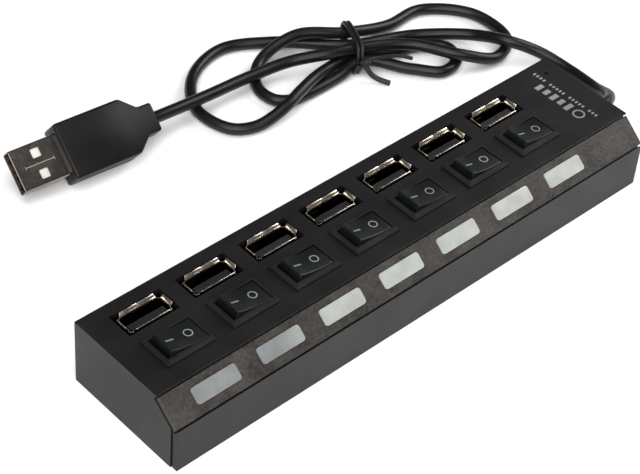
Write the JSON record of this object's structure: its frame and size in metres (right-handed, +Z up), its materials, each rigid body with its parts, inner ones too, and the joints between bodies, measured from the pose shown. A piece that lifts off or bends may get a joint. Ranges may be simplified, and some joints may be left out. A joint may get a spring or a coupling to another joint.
{
  "type": "usb hub",
  "caption": "Long low USB hub with a row of upright sockets, a rocker switch and a lit window for each, and a tied cord with a plug.",
  "frame": {"origin": "middle of the case's flat underside", "axes": "+X along the case towards the end that the cord leaves, +Y to the back, where the sockets are, +Z up"},
  "size_m": [0.1881, 0.1161, 0.023],
  "materials": {
    "case": "fine matt",
    "tray": "fine matt",
    "smoky_panel": "satin, smoky",
    "diffuser": "milky satin",
    "screw_steel": "plated",
    "board": "solder mask",
    "chip": "matt",
    "can_metal": "polished",
    "capacitor": "sleeve",
    "lamp": "clear",
    "contact_metal": "tinned",
    "wire": "insulated",
    "cord_rubber": "soft satin",
    "tie_coating": "satin",
    "plug_metal": "nickel plated",
    "plug_rubber": "satin",
    "white_insulator": "moulded",
    "contact_gold": "gold plated",
    "socket_metal": "nickel plated",
    "black_insulator": "moulded",
    "switch_frame": "satin",
    "rocker_plastic": "satin gloss"
  },
  "bodies": {
    "hub": {"top_case": "case", "base_tray": "tray", "indicator_panel": "smoky_panel", "diffuser_strip": "diffuser", "case_screws": "screw_steel", "circuit_board": "board", "hub_chips": "chip", "crystal": "can_metal", "capacitors": "capacitor", "resistors": "chip", "port_leds": "lamp", "power_led": "lamp", "switch_terminals": "contact_metal", "cable_wires": "wire", "strain_relief": "cord_rubber", "cord": "cord_rubber", "twist_tie": "tie_coating", "plug_shell": "plug_metal", "plug_grip": "plug_rubber", "plug_tongue": "white_insulator", "plug_contacts": "contact_gold", "socket_shell_1": "socket_metal", "socket_shell_2": "socket_metal", "socket_shell_3": "socket_metal", "socket_shell_4": "socket_metal", "socket_shell_5": "socket_metal", "socket_shell_6": "socket_metal", "socket_shell_7": "socket_metal", "socket_tongue_1": "black_insulator", "socket_tongue_2": "black_insulator", "socket_tongue_3": "black_insulator", "socket_tongue_4": "black_insulator", "socket_tongue_5": "black_insulator", "socket_tongue_6": "black_insulator", "socket_tongue_7": "black_insulator", "socket_contacts_1": "contact_gold", "socket_contacts_2": "contact_gold", "socket_contacts_3": "contact_gold", "socket_contacts_4": "contact_gold", "socket_contacts_5": "contact_gold", "socket_contacts_6": "contact_gold", "socket_contacts_7": "contact_gold", "switch_body_1": "switch_frame", "switch_body_2": "switch_frame", "switch_body_3": "switch_frame", "switch_body_4": "switch_frame", "switch_body_5": "switch_frame", "switch_body_6": "switch_frame", "switch_body_7": "switch_frame"},
    "rocker_1": {"rocker_1": "rocker_plastic"},
    "rocker_2": {"rocker_2": "rocker_plastic"},
    "rocker_3": {"rocker_3": "rocker_plastic"},
    "rocker_4": {"rocker_4": "rocker_plastic"},
    "rocker_5": {"rocker_5": "rocker_plastic"},
    "rocker_6": {"rocker_6": "rocker_plastic"},
    "rocker_7": {"rocker_7": "rocker_plastic"}
  },
  "joints": [
    {"name": "rocker_1_tilt", "type": "hinge", "parent": "hub", "child": "rocker_1", "pos_m": [-0.0675, -0.0015, 0.01885], "axis": [0, -1, 0], "range_deg": [0, 20]},
    {"name": "rocker_2_tilt", "type": "hinge", "parent": "hub", "child": "rocker_2", "pos_m": [-0.0473, -0.0015, 0.01885], "axis": [0, -1, 0], "range_deg": [0, 20]},
    {"name": "rocker_3_tilt", "type": "hinge", "parent": "hub", "child": "rocker_3", "pos_m": [-0.0271, -0.0015, 0.01885], "axis": [0, -1, 0], "range_deg": [0, 20]},
    {"name": "rocker_4_tilt", "type": "hinge", "parent": "hub", "child": "rocker_4", "pos_m": [-0.0069, -0.0015, 0.01885], "axis": [0, -1, 0], "range_deg": [0, 20]},
    {"name": "rocker_5_tilt", "type": "hinge", "parent": "hub", "child": "rocker_5", "pos_m": [0.0133, -0.0015, 0.01885], "axis": [0, -1, 0], "range_deg": [0, 20]},
    {"name": "rocker_6_tilt", "type": "hinge", "parent": "hub", "child": "rocker_6", "pos_m": [0.0335, -0.0015, 0.01885], "axis": [0, -1, 0], "range_deg": [0, 20]},
    {"name": "rocker_7_tilt", "type": "hinge", "parent": "hub", "child": "rocker_7", "pos_m": [0.0537, -0.0015, 0.01885], "axis": [0, -1, 0], "range_deg": [0, 20]}
  ]
}
